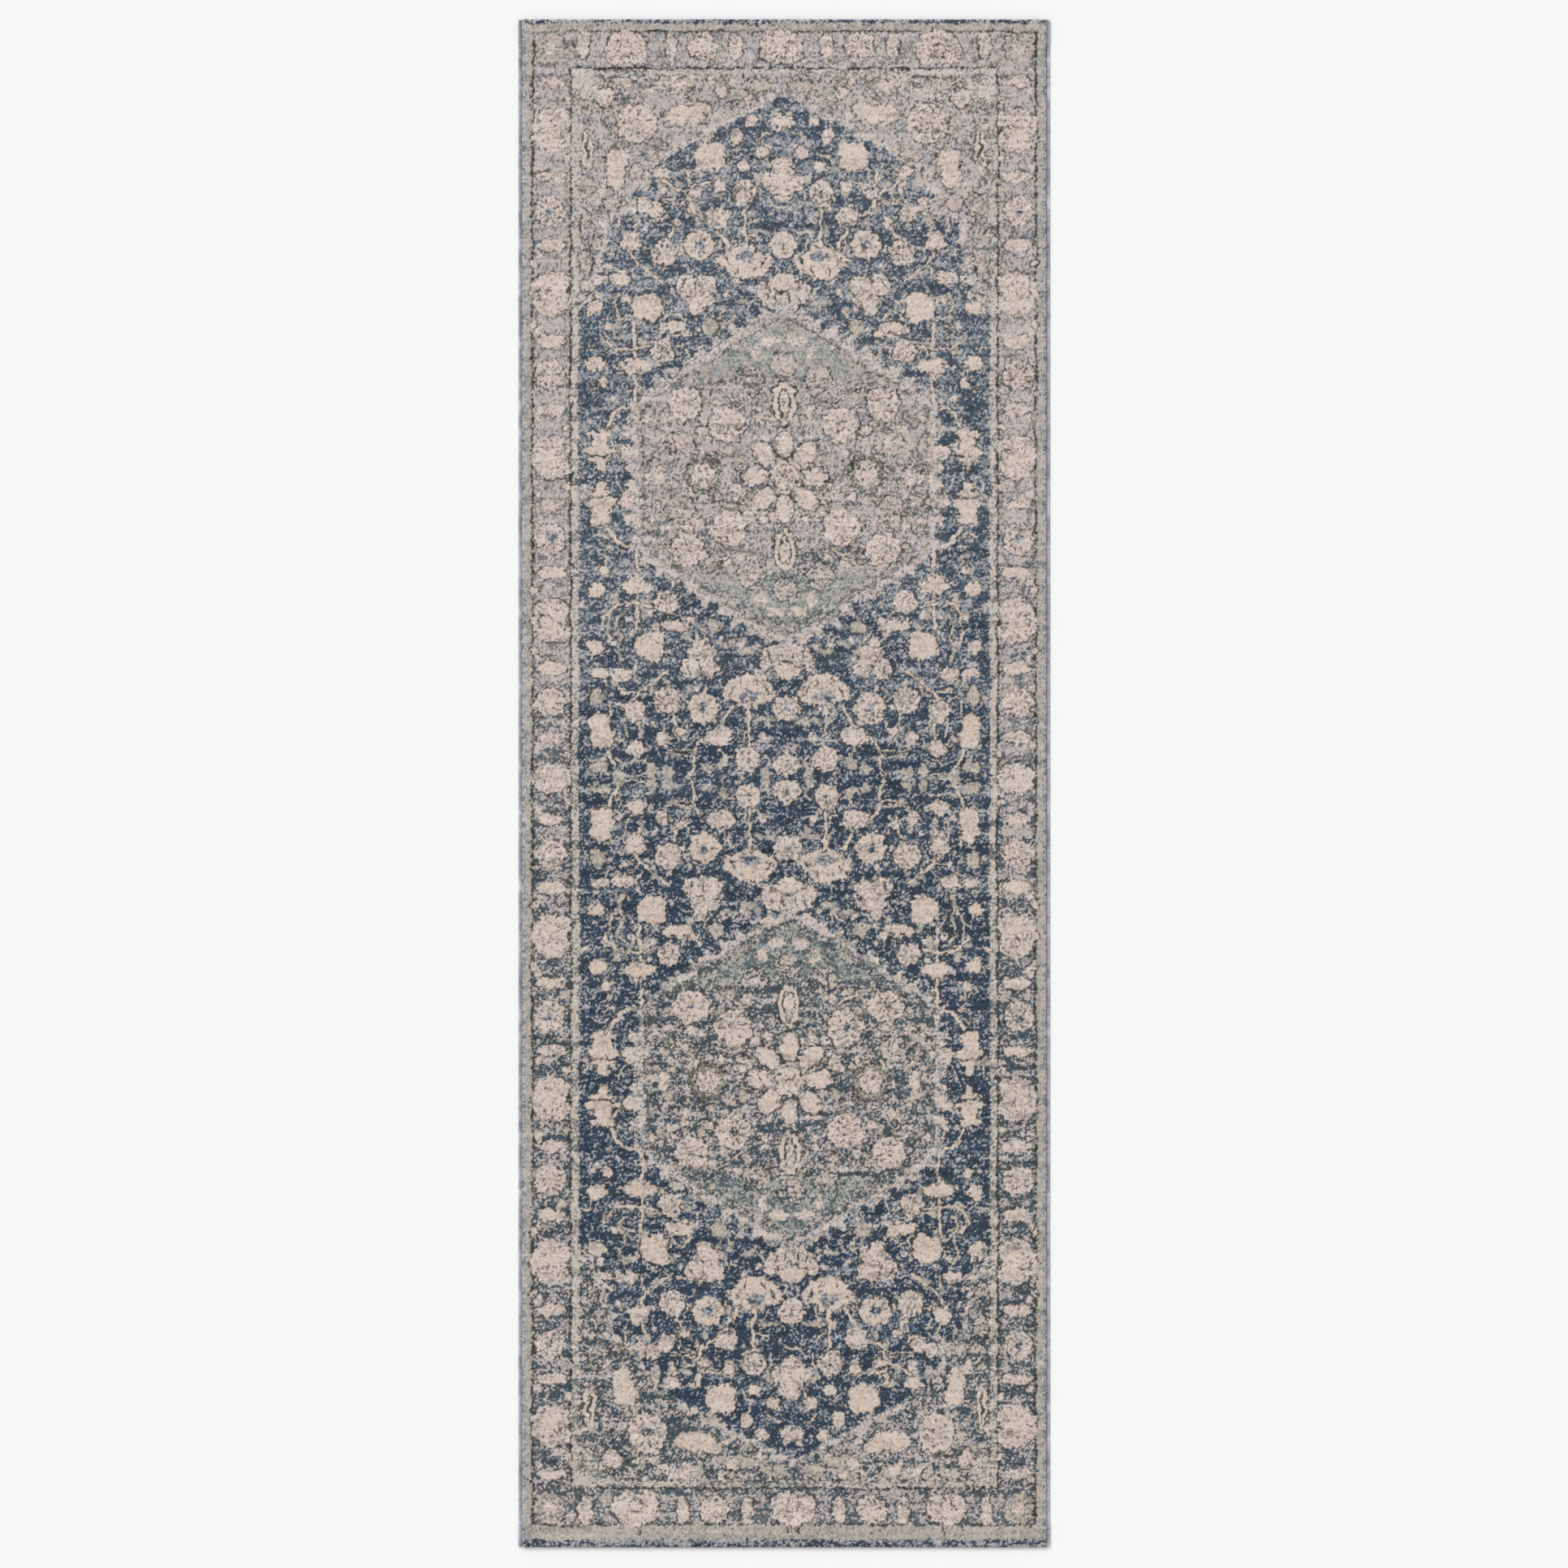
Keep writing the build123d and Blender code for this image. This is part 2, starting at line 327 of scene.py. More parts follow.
def round_flower(u, v, side=-1):
    """A smooth round head with two petals behind it on one side."""
    bloom(BLOOM, (u + side * 10, v - 9, 14, 13, 7), (u + side * 10, v + 9, 14, 12, 7), (u, v, 21, 21, 11))
    place, distance, angle, _ = lobe(u, v, 20, 20, 1, 0)
    paint(place, np.abs(distance) - 0.5 + 2 * (np.cos(angle) * -side < 0.2), CREASE)


def field_motifs(at, way):
    """The motifs of half the field; at gives a motif's v, and way is -1 where the half is turned over."""
    def heads(yarn, *lobes):
        bloom(yarn, *[(u, at(v), *size) for u, v, *size in lobes])

    def vine(*points, **style):
        stem(*[(u, at(v)) for u, v in points], **style)

    twin_flower(57, at(131), way)
    vine((57, 110), (57, 80), (57, 48))
    rosette(60, at(28), 18, 7)
    vine((84, 108), (92, 96), (99, 84))
    heads(ROSE, (100, 65, 18, 16, 8), (120, 62, 10, 4, 3))
    dab(CORE, 100, at(76), 5, 3)
    vine((128, 62), (137, 52), (142, 38), (142, 20), (148, 4))
    for v in (43, 37):
        vine((143, v), (165, v - 1), (184, v + 1), width=2.2)
    rosette(127, at(107), 23, 8, BLOOM, 0.3)
    rosette(182, at(119), 20, 9, ROSE, 0.15, ROSE)
    vine((174, 98), (170, 86), (164, 76))
    heads(ROSE, (162, 73, 7, 6, 5), (190, 62, 10, 10, 7))
    heads(ROSE, (233, 107, 17, 9, 9), (233, 97, 12, 12, 7))
    vine((228, 86), (226, 74), width=4.2)
    vine((233, 118), (222, 132), (200, 150), (184, 162))
    heads(ROSE, (232, 43, 17, 8, 7), (230, 47, 8, 12, 5))
    heads(BLOOM, (284, 84, 15, 15, 9), (279, 62, 17, 17, 9))
    vine((272, 42), (266, 26), (256, 8))
    heads(MOSS, (285, 16, 14, 9, 7))
    for u, v, *size in ((34, 5, 9, 9), (95, 24, 7, 11), (120, 16, 12, 5), (184, 7, 10, 9), (208, 12, 8, 12),
                        (256, 4, 11, 9), (64, 88, 5, 5), (36, 87, 17, 4), (62, 194, 13, 5), (95, 203, 7, 5),
                        (204, 152, 8, 5), (224, 68, 6, 7), (262, 268, 8, 9), (276, 250, 6, 10),
                        (216, 262, 8, 9)):
        dab(MOSS, u, at(v), *size)
    rosette(0, at(22), 18, 8)
    rosette(0, at(106), 20, 8, ROSE, 0.25)
    heads(BLOOM, (0, 163, 22, 12, 9))
    heads(ROSE, (0, 194, 26, 12, 9), (22, 184, 16, 13, 7), (34, 176, 8, 13, 5))
    for u, tilt in ((10, -8), (24, -22)):
        dab(OUTLINE, u, at(188), 1.4, 8, 1, 0, tilt * way)
    heads(ROSE, (120, 168, 19, 14, 7), (146, 168, 16, 15, 7), (126, 192, 22, 11, 9),
          (134, 206, 9, 10, 5))
    for u, tilt in ((132, -12), (150, -28)):
        dab(OUTLINE, u, at(165), 1.4, 9, 1, 0, tilt * way)
    heads(ROSE, (250, 158, 17, 10, 7), (284, 160, 14, 6, 5))
    heads(MOSS, (288, 124, 10, 14, 7))
    round_flower(211, at(202))
    heads(BLOOM, (290, 201, 11, 11, 9), (288, 288, 12, 11, 9), (277, 318, 7, 7, 6))
    vine((252, 180), (258, 200), (252, 218), (260, 238), (250, 250), width=5, yarn=MOSS)
    heads(BLOOM, (166, 232, 19, 9, 9), (184, 236, 7, 7, 5), (146, 242, 7, 5, 3))
    heads(MOSS, (111, 232, 12, 12, 8))
    heads(ROSE, (33, 226, 9, 13, 5), (57, 244, 9, 10, 5), (95, 266, 8, 12, 5), (122, 284, 18, 14, 9))
    rosette(183, at(269), 18, 8, ROSE, 0.15, ROSE)
    vine((228, 226), (227, 250), (227, 280))
    vine((206, 262), (236, 267), (262, 262), (280, 242))
    heads(BLOOM, (228, 292, 25, 10, 11), (228, 300, 12, 8, 5))
    vine((227, 306), (227, 330), (229, 352), (256, 360), (270, 384))
    heads(BLOOM, (281, 396, 17, 8, 7), (281, 410, 13, 11, 5), (281, 422, 24, 6, 7),
          (281, 435, 17, 3.5, 5), (281, 445, 6, 10, 3))
    for u, v, ru, rv in ((160, 316, 18, 11), (196, 340, 16, 11), (226, 396, 20, 7), (240, 424, 13, 12),
                         (234, 448, 9, 7)):
        heads(ROSE, (u, v, ru, rv, 6))


def arch_motifs():
    """What lies between the medallion's turned-over half and the arch, and in the spandrels."""
    stem((143, 866), (143, 900), (142, 932))
    stem((143, 908), (122, 909), (102, 906), width=3.4)
    stem((120, 858), (136, 866), (146, 892), (166, 904), (184, 918))
    rosette(59, 898, 17, 7)
    round_flower(111, 950)
    bloom(ROSE, (96, 905, 8, 7, 5), (28, 956, 10, 10, 8), (58, 936, 11, 8, 6), (186, 926, 13, 8, 6))
    bloom(ROSE, (0, 912, 32, 22, 11), (0, 940, 14, 10, 7), (0, 1002, 20, 9, 7), (48, 1006, 10, 9, 6))
    bloom(ROSE, (70, 980, 9, 12, 6), (135, 895, 8, 6, 5), (194, 868, 12, 10, 6), (214, 876, 10, 12, 5))
    bloom(MOSS, (74, 1046, 22, 9, 9), (28, 1058, 20, 8, 7), (150, 1060, 18, 9, 7))
    bloom(BLOOM, (93, 1050, 11, 8, 6), (150, 1014, 33, 15, 13), (122, 1022, 14, 12, 7))
    rosette(222, 1000, 31, 11, ROSE, 0.3, SEED)
    bloom(BLOOM, (252, 944, 17, 20, 9), (256, 918, 13, 18, 9))
    stem((252, 964), (262, 988), (280, 1016), width=2.6)
    dab(ROSE, 272, 1040, 15, 15, 4, 0.1)
    ring(SPECK, 272, 1040, 15, 15, 4, 0.1, 1.2)
    bloom(VINE, (300, 962, 7, 36, 9))
    dab(OUTLINE, 300, 962, 2.2, 26, 5)
    dab(STRIPE, 300, 1058, 20, 30, 4)
    for k in range(9):
        spoke = math.radians(14 + 19 * k)
        dab(ROSE, 178 + 27 * math.cos(spoke), 1050 + 15 * math.sin(spoke), 10, 2.8, 1, 0, math.degrees(spoke))
    for u, v, ru, rv in ((196, 952, 16, 8), (222, 925, 9, 12), (262, 880, 12, 11), (292, 880, 12, 14),
                         (300, 840, 10, 18), (302, 790, 9, 18), (246, 1062, 18, 8), (210, 1066, 14, 6),
                         (266, 1004, 6, 7), (300, 752, 10, 10)):
        bloom(SEED, (u, v, ru, rv, 6))


# ---- the borders
# Where each line starts, at the side and at the end
SIDE_LINES = ((314, STRIPE), (325, DARK_LINE), (328.5, GAP), (383, DARK_LINE), (386.5, GUARD), (396, EDGE))
END_LINES = ((1076, STRIPE), (1084, DARK_LINE), (1087.5, GAP), (1140, DARK_LINE), (1142.5, GUARD),
             (1154, END_EDGE))
REPEAT = 250.4  # from one large border flower to the next
SIDE_MIDDLE, END_MIDDLE = 356, 1118  # the middle of the border at the side and at the end


def border_lines():
    """The guard lines, mitred at the corner, from the field outwards."""
    for (side, side_yarn), (end, end_yarn) in zip(SIDE_LINES, END_LINES):
        to_side = side - (U + WOBBLE_U * 0.5)
        to_end = end - (V + WOBBLE_V * 0.5)
        paint(WHOLE, np.minimum(to_side, to_end), side_yarn, 1.2)
        if end_yarn is not side_yarn:
            paint(WHOLE, np.maximum(to_end, to_end - to_side), end_yarn, 1.2)


def border_motifs():
    """Large flowers, bars and round flowers by turns, with small balls between them."""
    u = SIDE_MIDDLE
    for k in range(5):
        v = REPEAT * k - 10
        bloom(ROSE, (u - 3, v - 17, 27, 17, 9), (u - 3, v + 17, 27, 17, 9), (u + 3, v, 28, 26, 11))
        ring(SLIT, u + (10 if k % 2 else -14), v, 11, 10, 6, 0.2, 0.9)
        dab(BLOOM, u, v - 8, 15, 9, 7)
        for way in (-1, 1):
            bloom(BLOOM if k % 2 else ROSE, (u, v + way * 73, 22, 9, 5))
            ball = 383 if k % 2 else 331
            bloom(BLOOM, (ball, v + way * 46, 5, 5, 5))
            dab(MOSS, u - 18, v + way * 92, 7, 5)
            dab(ROSE, u + 20, v + way * 58, 6, 6)
        if k < 4:
            rosette(u + 2, v + 125, 23, 10, ROSE, 0.3, CORE if k % 2 else ROSE)
    rosette(360, 1116, 24, 10, MOSS, 0.3, ROSE)
    end = END_MIDDLE
    for u in (0, 238):
        bloom(ROSE, (u - 15, end - 3, 18, 25, 9), (u + 15, end - 3, 18, 25, 9), (u, end + 2, 23, 25, 11))
        ring(SLIT, u, end - 6, 10, 11, 6, 0.2, 0.9)
    for u in (69, 170, 307):
        bloom(ROSE, (u, end + 1, 9, 22, 5))
    rosette(120, end, 23, 10, ROSE, 0.3, ROSE)
    for u in (44, 92, 148, 194, 276, 284, 330):
        dab(MOSS, u, end - 16, 6, 5)


# ---- from design to knots
SERGING_YARN = (170, 172, 178)
DESIGN_MIDDLE = 8.0  # the design's middle lies this far towards the head end
FOOT_GUARD = 10.0  # how much wider the light guard is at the foot end
KNOT_PITCH, QUICK_PITCH = 1.25, 2.5
BLUISH = 160  # light yarns with less red than this are the blues


def paint_design():
    ground()
    field_motifs(lambda v: v, 1)
    field_motifs(lambda v: 2 * MIRROR - v, -1)
    medallion()
    spandrels()
    arch_motifs()
    border_lines()
    border_motifs()


def knots():
    """x, y, dye colour and relief for a grid of knots that covers the pile."""
    pitch = KNOT_PITCH
    nx, ny = int(2 * HALF_WIDTH / pitch) + 1, int(2 * HALF_LENGTH / pitch) + 1
    x = np.linspace(-HALF_WIDTH, HALF_WIDTH, nx)
    y = np.linspace(-HALF_LENGTH, HALF_LENGTH, ny)
    xd, yd = np.broadcast_arrays(x, y[:, None] - DESIGN_MIDDLE)

    def drift(across, along, seed):
        """Noise over the knots, with widths in knots of the full grid."""
        return noise((ny, nx), across * KNOT_PITCH / pitch, along * KNOT_PITCH / pitch, seed)

    design = design_under(xd, yd, drift)
    light, dark = design[..., :3], design[..., 3:6]
    share, grain, relief, fade = (design[..., k] for k in range(6, 10))

    # How worn each knot is, 0 to 1: towards the head end, in patches and bands, and a little at the foot
    patch = drift(30, 16, 20) * 0.7 + drift(90, 5, 21) * 0.5
    worn = 1 / (1 + np.exp(-((yd - 170) / 130 + patch * 1.2)))
    worn = worn + 0.3 * (1 - worn) / (1 + np.exp((yd + 1090) / 10))
    light, dark, share = wear(light, dark, share, grain, fade, worn, patch, drift)
    dye = speckle(light, dark, share, grain, fade, worn, drift)
    relief = relief * 0.6 + noise((ny, nx), 0.4, 0.4, 17) * 0.2
    relief[::2] += 0.1  # the rows of the weave
    return x, y, dye, np.clip(relief, -0.9, 0.6)


def design_under(xd, yd, drift):
    """The yarn mix at each knot, each knot a little out of its place in the design."""
    skew = (4.5 - 0.008 * yd) * np.clip((320 - np.abs(xd)) / 90, 0, 1)
    rough = 0.62 + 1.3 * np.clip(drift(2.4, 2.4, 7), 0, 3) ** 1.5
    stray_x = drift(12, 12, 5) * 0.6 + drift(1, 1, 8) * rough
    stray_y = drift(12, 12, 6) * 0.6 + drift(1, 1, 9) * rough * 1.25
    u = np.clip(np.abs(xd - skew + stray_x), 0, HALF_W - 2)
    v = np.abs(yd + stray_y)
    v -= FOOT_GUARD * np.clip((v - 1146) / FOOT_GUARD, 0, 1) * (yd < 0)
    v = np.clip(v, 0, HALF_L - 2)
    i, j = v.astype(int), u.astype(int)
    fi, fj = (v - i)[..., None], (u - j)[..., None]
    design = canvas[i, j] * (1 - fi) * (1 - fj) + canvas[i, j + 1] * (1 - fi) * fj
    design += canvas[i + 1, j] * fi * (1 - fj) + canvas[i + 1, j + 1] * fi * fj
    return design


def blend(a, b, share):
    """Colour a turned into colour b by each knot's share."""
    share = share[..., None]
    return a * (1 - share) + np.asarray(b) * share


def wear(light, dark, share, grain, fade, worn, patch, drift):
    """Towards the head end the dark yarns thin out and pale, in patches and bands, and the blues lighten."""
    mist = drift(6, 4, 23) * 0.09 + drift(30, 1.8, 22) * 0.1
    share = share * (1 - 0.72 * fade * worn) + 0.05 * patch * fade + mist * (grain > 0.5)
    dark = blend(dark, ASH, (0.55 * fade ** 1.5 + 0.02) * worn)
    bluish = light[..., :1] < BLUISH
    dark = dark * (1 - 0.08 * (1 - worn[..., None]) * bluish)
    share = share + 0.06 * (1 - worn) * bluish[..., 0]
    blue = bluish * worn[..., None]
    light = light + blue * np.array([26, 22, 18]) + (1 - blue) * worn[..., None] * np.array([5, 5, 7])
    return light, dark, share


def speckle(light, dark, share, grain, fade, worn, drift):
    """Each knot's dye: the light yarn or the dark, strayed knots, short ticks along the rows, and drift."""
    field = drift(0.75, 0.7, 11) * 0.95 + drift(4, 3, 12) * 0.34
    field += drift(22, 1.3, 13) * 0.22
    level = 1 / (1 + np.exp(-1.702 * field / field.std()))  # 0 to 1, spread evenly
    dye = blend(light, dark, np.clip((share - level) / 0.5 + 0.5, 0, 1))
    stray = np.clip((level - 0.80) / 0.12, 0, 1) * grain * 0.74
    deep = np.clip((0.15 - level) / 0.1, 0, 1) * grain * 0.6 * (1 - 0.5 * worn * fade)
    tint = drift(12, 9, 16)[..., None]
    dye = blend(dye, np.array([206, 196, 190]) + tint * np.array([3, 0, 4]), stray)
    dye = blend(dye, np.array([62, 70, 74]) + tint * np.array([-4, 0, 7]), deep)
    tick = np.clip((drift(0.75, 1.6, 18) - 0.85) / 0.4, 0, 1) * (0.1 + 0.8 * worn) * grain * fade
    dye = blend(dye, (88, 90, 84), tick)
    dye = dye + (drift(0.6, 0.6, 14) * 6)[..., None]
    dye = dye + drift(1.2, 1.2, 19)[..., None] * np.array([2, 0, -2])
    return dye + (drift(53, 1.3, 15) * 3)[..., None]


# ---- sizes from the frame, in mm
def mm_box(node):
    low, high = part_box(node)
    return np.array(low) / MM, np.array(high) / MM


PILE_LOW, PILE_HIGH = mm_box("cut_pile")
HALF_WIDTH, HALF_LENGTH, _ = PILE_HIGH  # of the pile
PILE_BASE = PILE_LOW[2]
COAT_LOW, COAT_HIGH = mm_box("back_coating")
SERGING_LOW, SERGING_HIGH = mm_box("right_serging")
CORD_LOW, CORD_HIGH = mm_box("right_edge_cord")
CLIMB_START = COAT_HIGH[1]  # where the web leaves the coating for the hem
CLIMB_END = mm_box("head_hem_adhesive")[0][1] - 0.8  # and where it lies flat again
RISE = mm_box("upper_weft")[1][2] - PILE_BASE  # how much higher the web lies over a hem
PILE_DEPTH = PILE_HIGH[2] - RISE - PILE_BASE
WEB = mm_box("upper_weft")[1][2] - mm_box("head_hem_adhesive")[1][2]
HEM_ADHESIVE = 0.3  # the glue's thickness
WEFT = 0.4  # the outermost weft's thickness
CLEARANCE = 0.02  # what lies lowest stays this far off the floor


def climb(y):
    """How much the web has risen at y: a smooth climb between the coating's end and the hem."""
    t = np.clip((np.abs(y) - CLIMB_START) / (CLIMB_END - CLIMB_START), 0, 1)
    return RISE * np.where(t < 0.5, 2 * t * t, 1 - 2 * (1 - t) ** 2)


# ---- mesh helpers
def linear(srgb):
    """Linear colour from sRGB on a 0 to 255 scale."""
    c = np.clip(np.asarray(srgb, dtype=np.float64) / 255, 0, 1)
    return np.where(c <= 0.04045, c / 12.92, ((c + 0.055) / 1.055) ** 2.4)


def add_mesh(name, points_mm, quads, others=(), dye=None, material=None):
    """A smooth mesh from points in mm, quads and a few other faces, with a colour for each point."""
    points = np.asarray(points_mm, dtype=np.float32) * MM
    quads = np.asarray(quads, dtype=np.int32).reshape(-1, 4)
    loops = np.concatenate([quads.ravel(), *others]).astype(np.int32)
    totals = np.concatenate([np.full(len(quads), 4), [len(f) for f in others]]).astype(np.int32)
    starts = (np.cumsum(totals) - totals).astype(np.int32)
    mesh = bpy.data.meshes.new(name)
    mesh.vertices.add(len(points))
    mesh.vertices.foreach_set("co", points.ravel())
    mesh.loops.add(len(loops))
    mesh.loops.foreach_set("vertex_index", loops)
    mesh.polygons.add(len(totals))
    mesh.polygons.foreach_set("loop_start", starts)
    mesh.update(calc_edges=True)
    mesh.validate()
    mesh.polygons.foreach_set("use_smooth", np.full(len(mesh.polygons), True))
    if dye is not None:
        layer = mesh.color_attributes.new("Dye", "FLOAT_COLOR", "POINT")
        rgba = np.ones((len(points), 4), dtype=np.float32)
        rgba[:, :3] = linear(dye)
        layer.data.foreach_set("color", rgba.ravel())
    mesh.materials.append(material)
    piece = bpy.data.objects.new(name, mesh)
    scene.collection.objects.link(piece)
    return piece


def grid_quads(rows, columns, start=0, close_columns=False):
    """Quads over a rows by columns grid of points numbered row by row."""
    r = np.arange(rows - 1)[:, None] * columns
    c = np.arange(columns if close_columns else columns - 1)
    n = (c + 1) % columns
    return (start + np.stack([r + c, r + n, r + columns + n, r + columns + c], axis=-1)).reshape(-1, 4)


def points_of(x, y, z):
    """A list of points from arrays of x, y and z that broadcast together."""
    return np.stack(np.broadcast_arrays(x, y, z), axis=-1).reshape(-1, 3)


def rim_of(rows, columns):
    """The numbers of a grid's border points, once round from its first point."""
    n = np.arange(rows * columns).reshape(rows, columns)
    return np.concatenate([n[0, :-1], n[:-1, -1], n[-1, :0:-1], n[:0:-1, 0]])


def band(upper, lower):
    """Quads between two rims of the same grid, facing out where upper lies above lower."""
    return np.stack([upper, lower, np.roll(lower, -1), np.roll(upper, -1)], axis=-1)


def lid(rim, rows, columns):
    """A grid's rim closed by strips from side to side and one face along each end, facing up."""
    right = rim[columns - 1:columns - 1 + rows]
    left = np.concatenate([[rim[0]], rim[:2 * columns + rows - 4:-1]])
    strips = np.stack([left[1:-2], right[1:-2], right[2:-1], left[2:-1]], axis=-1)
    first = [*rim[:columns], right[1], left[1]]
    last = [*rim[columns + rows - 2:2 * columns + rows - 2], left[-2], right[-2]]
    return strips, [first, last]


# ---- materials
def new_material(name):
    material = bpy.data.materials.new(name)
    material.use_nodes = True
    tree = material.node_tree
    return material, tree, tree.nodes["Principled BSDF"]


def feed(socket, value):
    """Give a socket another node's output, a colour or a number."""
    if isinstance(value, bpy.types.NodeSocket):
        socket.id_data.links.new(value, socket)
    elif isinstance(value, tuple):
        socket.default_value = (*value, 1)
    else:
        socket.default_value = value


def rgb(*srgb):
    return tuple(linear(srgb))


def add_node(tree, kind, **values):
    """A shader node; values are its own settings, or its inputs where the name is not a setting."""
    made = tree.nodes.new("ShaderNode" + kind)
    for key, value in values.items():
        if hasattr(made, key):
            setattr(made, key, value)
        else:
            made.inputs[key.replace("_", " ")].default_value = value
    return made


def mix_colour(tree, factor, a, b, blend="MIX"):
    """A colour mix; factor, a and b are numbers, colours or sockets."""
    made = add_node(tree, "Mix", data_type="RGBA", blend_type=blend)
    for number, value in ((0, factor), (6, a), (7, b)):
        feed(made.inputs[number], value)
    return made.outputs[2]


def maths(tree, operation, a, b):
    """A Math node over sockets or numbers."""
    made = add_node(tree, "Math", operation=operation)
    feed(made.inputs[0], a)
    feed(made.inputs[1], b)
    return made.outputs[0]


def span(tree, socket, low, high):
    """socket's 0 to 1 mapped to low to high."""
    made = add_node(tree, "MapRange", To_Min=low, To_Max=high)
    feed(made.inputs["Value"], socket)
    return made.outputs["Result"]


def stretched(tree, scale):
    """Object coordinates in metres, scaled per axis, so a pattern keeps its real size."""
    place = add_node(tree, "TexCoord")
    mapping = add_node(tree, "Mapping", Scale=scale)
    feed(mapping.inputs["Vector"], place.outputs["Object"])
    return mapping.outputs["Vector"]


def grain_noise(tree, scale, detail=2.0, rough=0.6):
    made = add_node(tree, "TexNoise", Scale=1.0, Detail=detail, Roughness=rough)
    feed(made.inputs["Vector"], stretched(tree, scale))
    return made.outputs["Fac"]


def add_bump(shader, height, distance, strength=1.0, below=None):
    made = add_node(shader.id_data, "Bump", Strength=strength, Distance=distance)
    feed(made.inputs["Height"], height)
    if below is not None:
        feed(made.inputs["Normal"], below)
    feed(shader.inputs["Normal"], made.outputs["Normal"])
    return made.outputs["Normal"]


def surface(shader, colour, rough, smoothest, roughest):
    """The shader's colour, and its roughness over a pattern."""
    feed(shader.inputs["Base Color"], colour)
    feed(shader.inputs["Roughness"], span(shader.id_data, rough, smoothest, roughest))


def soft_yarn(shader, sheen):
    shader.inputs["Specular IOR Level"].default_value = 0.2
    shader.inputs["Sheen Weight"].default_value = sheen
    shader.inputs["Sheen Roughness"].default_value = 0.45


def pile_material():
    """Dyed cut tufts: each knot's dye broken up by single fibres, with painted highlight on tips and painted
    shade in gaps.
    """
    material, tree, shader = new_material("cut_pile")
    dye = add_node(tree, "VertexColor", layer_name="Dye").outputs["Color"]
    tufts = add_node(tree, "TexVoronoi", Scale=1.0, Randomness=0.9)
    feed(tufts.inputs["Vector"], stretched(tree, (720, 800, 300)))
    tuft = tufts.outputs["Distance"]
    fibre = grain_noise(tree, (3600, 3600, 900), 2.0, 0.7)
    # Painted highlight and shade: the dye is lightened towards each tuft's middle and darkened towards the
    # gaps between tufts, times the fibres' own tone.
    tuft_shading_and_fibre_tone = maths(tree, "MULTIPLY", span(tree, tuft, 1.32, 0.85), span(tree, fibre, 0.88, 1.12))
    tuft_shading_and_tone_grey = add_node(tree, "CombineColor")
    for channel in ("Red", "Green", "Blue"):
        feed(tuft_shading_and_tone_grey.inputs[channel], tuft_shading_and_fibre_tone)
    colour = mix_colour(tree, 1.0, dye, tuft_shading_and_tone_grey.outputs["Color"], "MULTIPLY")
    surface(shader, colour, fibre, 0.82, 0.98)
    soft_yarn(shader, 0.08)
    dome = span(tree, tuft, 1.0, 0.0)
    under = add_bump(shader, dome, 0.0009)
    add_bump(shader, fibre, 0.0004, 0.8, under)
    return material


def yarn_material(name, base, scale, spread, use_dye=False, bump=0.0003, ribs=None):
    """Spun yarn: fibres drawn out along the yarn, with lighter and darker lengths, and ribs where asked."""
    material, tree, shader = new_material(name)
    fibre = grain_noise(tree, scale, 3.0, 0.65)
    length = grain_noise(tree, tuple(s * 0.12 for s in scale), 2.0, 0.5)
    own = rgb(*base)
    light = tuple(min(c * (1 + spread), 1) for c in own)
    dark = tuple(c * (1 - 1.6 * spread) for c in own)
    colour = mix_colour(tree, fibre, dark, light)
    if use_dye:
        dye = add_node(tree, "VertexColor", layer_name="Dye").outputs["Color"]
        shade = mix_colour(tree, fibre, (1 - spread,) * 3, (1 + spread,) * 3)
        colour = mix_colour(tree, 1.0, dye, shade, "MULTIPLY")
    colour = mix_colour(tree, span(tree, length, 0, 0.25), colour, tuple(c * 0.7 for c in own))
    surface(shader, colour, fibre, 0.75, 0.95)
    soft_yarn(shader, 0.1)
    under = None
    if ribs:
        direction, per_metre = ribs
        wave = add_node(tree, "TexWave", Scale=1.0, Distortion=0.6, Detail=1.0, bands_direction=direction)
        feed(wave.inputs["Vector"], stretched(tree, (per_metre,) * 3))
        under = add_bump(shader, wave.outputs["Fac"], bump * 1.5)
    add_bump(shader, fibre, bump, 0.8, under)
    return material


def latex_material():
    """Dried latex over a coarse weave: blotchy, matte, with the yarns showing through."""
    material, tree, shader = new_material("back_latex")
    blotch = grain_noise(tree, (26, 26, 26), 4.0, 0.6)
    thread = grain_noise(tree, (90, 900, 400), 3.0, 0.6)
    fleck = grain_noise(tree, (420, 420, 420), 1.0, 0.5)
    base = mix_colour(tree, blotch, rgb(176, 166, 148), rgb(202, 194, 176))
    base = mix_colour(tree, span(tree, thread, 0, 0.5), base, rgb(146, 132, 108))
    specks = add_node(tree, "MapRange", From_Min=0.6, From_Max=0.7, To_Max=0.4)
    feed(specks.inputs["Value"], fleck)
    base = mix_colour(tree, specks.outputs["Result"], base, rgb(98, 106, 120))
    surface(shader, base, blotch, 0.55, 0.8)
    under = add_bump(shader, thread, 0.0004)
    add_bump(shader, fleck, 0.0003, 0.6, under)
    return material


